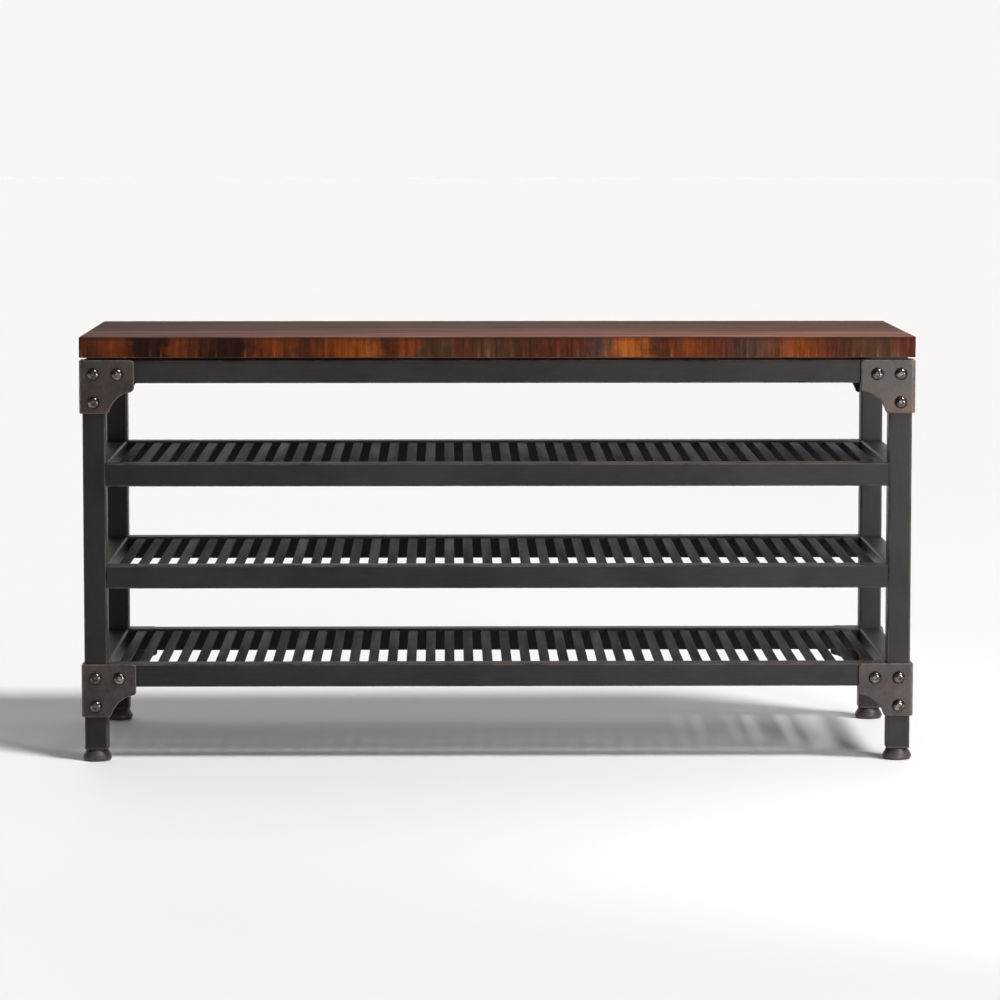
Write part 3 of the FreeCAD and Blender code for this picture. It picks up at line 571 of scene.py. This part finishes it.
PAINTED_LIGHT_RIGHT = (1.50, 1.34, 1.26)
WOOD_SHINE = 0.04
GRAIN_DEPTH = 0.0004
CHIPS = ((-0.396, 0.004), (-0.266, 0.006), (-0.188, 0.003), (-0.152, 0.004), (-0.101, 0.004),
         (-0.022, 0.005), (-0.012, 0.003), (0.072, 0.003), (0.301, 0.003), (0.388, 0.004))
STAINS = {
    "dark": (0.020, 0.0075, 0.0052), "umber": (0.046, 0.0140, 0.0075), "orange": (0.125, 0.028, 0.0065),
    "bright": (0.215, 0.058, 0.0110), "red": (0.070, 0.0180, 0.0100), "olive": (0.052, 0.026, 0.0130),
    "grey": (0.046, 0.028, 0.0220),
}
EDGE_STAINS = (
    (-0.457, "red"), (-0.445, "umber"), (-0.416, "orange"), (-0.396, "dark"), (-0.366, "dark"),
    (-0.352, "orange"), (-0.326, "umber"), (-0.308, "dark"), (-0.282, "dark"), (-0.252, "orange"),
    (-0.214, "umber"), (-0.180, "orange"), (-0.146, "bright"), (-0.122, "umber"), (-0.098, "orange"),
    (-0.084, "olive"), (-0.050, "olive"), (-0.036, "red"), (-0.010, "olive"), (0.038, "umber"),
    (0.078, "red"), (0.112, "grey"), (0.134, "bright"), (0.158, "bright"), (0.176, "umber"),
    (0.212, "orange"), (0.245, "red"), (0.274, "grey"), (0.326, "orange"), (0.375, "umber"),
    (0.425, "olive"), (0.450, "red"),
)


def plank_wood(name, top_dark, top_middle, top_light, shift):
    """Stained wood for one plank, its grain moved by a shift so that no two planks are alike."""
    material, shader, place = new_finish(name)
    parts = node(material, "SeparateXYZ", {0: place})
    turned = node(material, "SeparateXYZ", {0: node(material, "TexCoord").outputs["Normal"]})
    half_length = max(cad_high.x, -cad_low.x)

    figure = grain(material, place, (2.2, 34, 34), detail=5, roughness=0.6, distortion=0.8, at=shift)
    streak = grain(material, place, (9, 330, 330), detail=5, roughness=0.68, at=shift)
    pore = grain(material, place, (60, 1500, 1500), detail=2, roughness=0.5, at=shift)
    top_tone = maths(material, "ADD", maths(material, "MULTIPLY", figure, 0.62),
                     maths(material, "MULTIPLY", streak, 0.38))
    top = colours(material, top_tone, (0.36, top_dark), (0.50, top_middle), (0.63, top_light))
    # Painted light: the top colour is multiplied darker to the left and paler to the right, as light
    # falls from the right.
    drift = grain(material, place, (3, 12, 12), detail=3, at=shift)
    painted_light_ramp = levels(material, maths(material, "ADD", parts.outputs[0], maths(
        material, "MULTIPLY", drift, 0.5)), PAINTED_LIGHT_FROM, PAINTED_LIGHT_FULL)
    top = mixed(material, 1.0, top, colours(
        material, painted_light_ramp, (0.0, PAINTED_SHADE_LEFT), (1.0, PAINTED_LIGHT_RIGHT)), "MULTIPLY")
    line = grain(material, place, (14, 620, 620), detail=4, roughness=0.72, at=shift)
    top = mixed(material, 1.0, top, colours(
        material, line, (0.40, (0.60, 0.58, 0.57)), (0.50, (0.97, 0.97, 0.97)),
        (0.62, (1.28, 1.26, 1.24))), "MULTIPLY")

    stain_at = maths(material, "DIVIDE", maths(material, "ADD", parts.outputs[0], half_length),
                     2 * half_length)
    waver = grain(material, place, (30, 10, 60), detail=3, roughness=0.6, at=shift)
    stain_at = maths(material, "ADD", stain_at, levels(material, waver, 0.3, 0.7, -0.011, 0.011))
    stains = colours(material, stain_at, *[
        ((at + half_length) / (2 * half_length), STAINS[stain]) for at, stain in EDGE_STAINS])
    saw = grain(material, place, (230, 60, 16), detail=5, roughness=0.62, distortion=0.4, at=shift)
    fibre = grain(material, place, (150, 150, 40), detail=5, roughness=0.7, at=shift)
    marks = maths(material, "ADD", maths(material, "MULTIPLY", saw, 0.6),
                  maths(material, "MULTIPLY", fibre, 0.4))
    shade = colours(material, marks, (0.34, (0.46, 0.44, 0.44)), (0.50, (0.90, 0.90, 0.90)),
                    (0.66, (1.50, 1.46, 1.40)))
    edge = mixed(material, 1.0, stains, shade, "MULTIPLY")
    low_band = levels(material, parts.outputs[2], cad_high.z - SAW_STREAK_TOP,
                      cad_high.z - SAW_STREAK_LOW)
    pale = maths(material, "MULTIPLY", levels(material, saw, 0.58, 0.70), low_band)
    edge = mixed(material, maths(material, "MULTIPLY", pale, 0.45), edge, SAW_STREAK)
    soot = levels(material, parts.outputs[2], cad_high.z - SOOT_LOW, cad_high.z - SOOT_TOP, 0.0, 0.55)
    edge = mixed(material, soot, edge, SOOT)

    upright = levels(material, maths(material, "ABSOLUTE", turned.outputs[2]), 0.80, 0.50)
    wood = mixed(material, upright, top, edge)
    for at, radius in CHIPS:
        away = node(material, "VectorMath", {0: place, 1: (at, cad_low.y, cad_high.z - SAW_STREAK_LOW)},
                    operation="DISTANCE").outputs["Value"]
        chip = maths(material, "MULTIPLY", levels(material, away, radius, radius * 0.5), levels(
            material, fibre, 0.42, 0.56))
        wood = mixed(material, maths(material, "MULTIPLY", chip, 0.6), wood, BARE_WOOD)
    arris = maths(material, "MULTIPLY", rounded_edges(material, 0.97, 0.78), levels(
        material, fibre, 0.42, 0.60))
    wood = mixed(material, maths(material, "MULTIPLY", arris, 0.5), wood, WORN_ARRIS)
    into(material, shader, "Base Color", wood)
    into(material, shader, "Roughness", levels(material, streak, 0.35, 0.65, 0.78, 0.60))
    shader.inputs["Specular IOR Level"].default_value = WOOD_SHINE
    relief(material, shader, maths(material, "ADD", maths(material, "MULTIPLY", streak, 0.6), maths(
        material, "MULTIPLY", maths(material, "ADD", pore, saw), 0.3)), GRAIN_DEPTH, 0.6)
    return material


def plank_piece(name, replaced, material, outer_front, outer_back):
    """One plank: a box cut into short lengths, its outer corners rounded and its faces uneven."""
    low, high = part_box(replaced)
    bpy.ops.object.select_all(action="DESELECT")
    bpy.ops.mesh.primitive_cube_add(size=1, location=(low + high) / 2, scale=high - low)
    piece = bpy.context.object
    bpy.ops.object.transform_apply(location=True, rotation=True, scale=True)
    bpy.ops.object.mode_set(mode="EDIT")
    pick_edges(lambda middle, run: abs(run.z) > NEAR and (
        (outer_front and middle.y < low.y + NEAR) or (outer_back and middle.y > high.y - NEAR)))
    if outer_front or outer_back:
        bpy.ops.mesh.bevel(offset=END_ROUND, segments=4, affect="EDGES")
    pick_edges(lambda middle, run: abs(run.z) < NEAR and (
        abs(middle.x) > high.x - END_ROUND - NEAR
        or (outer_front and middle.y < low.y + END_ROUND + NEAR)
        or (outer_back and middle.y > high.y - END_ROUND - NEAR)))
    bpy.ops.mesh.bevel(offset=ARRIS, segments=3, affect="EDGES")
    length = high.x - low.x
    pick_edges(lambda middle, run: abs(run.x) > length / 2 and (
        (not outer_front and middle.y < low.y + NEAR)
        or (not outer_back and middle.y > high.y - NEAR)))
    bpy.ops.mesh.bevel(offset=SEAM, segments=2, affect="EDGES")
    pick_edges(lambda middle, run: abs(run.x) > length / 2)
    bpy.ops.mesh.subdivide(number_cuts=int(length / EDGE_SPACING))
    pick_edges(lambda middle, run: abs(run.y) > 0.05)
    bpy.ops.mesh.subdivide(number_cuts=int((high.y - low.y) / EDGE_SPACING))
    bpy.ops.mesh.select_all(action="SELECT")
    bpy.ops.mesh.normals_make_consistent(inside=False)
    bpy.ops.object.mode_set(mode="OBJECT")
    cloud = bpy.data.textures.new(name + "_unevenness", "CLOUDS")
    cloud.noise_scale = UNEVEN_SPREAD
    cloud.noise_depth = 2
    uneven = piece.modifiers.new("uneven", "DISPLACE")
    uneven.texture = cloud
    uneven.texture_coords = "LOCAL"
    uneven.strength = UNEVEN
    uneven.mid_level = 1.0
    bpy.ops.object.modifier_apply(modifier="uneven")
    settle(piece, name, material, 30)
    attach(piece, "frame")
    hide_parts(replaced)


front_wood = plank_wood("front_plank_wood", (0.064, 0.030, 0.023), (0.140, 0.071, 0.055),
                        (0.235, 0.130, 0.104), (0.0, 0.0, 0.0))
middle_wood = plank_wood("middle_plank_wood", (0.040, 0.021, 0.017), (0.085, 0.043, 0.034),
                         (0.140, 0.074, 0.058), (7.3, 2.1, 4.4))
back_wood = plank_wood("back_plank_wood", (0.030, 0.019, 0.014), (0.062, 0.039, 0.029),
                       (0.108, 0.069, 0.052), (3.9, 8.2, 1.7))
plank_piece("front_plank", "seat_plank_front", front_wood, True, False)
plank_piece("middle_plank", "seat_plank_middle", middle_wood, False, False)
plank_piece("back_plank", "seat_plank_back", back_wood, False, True)
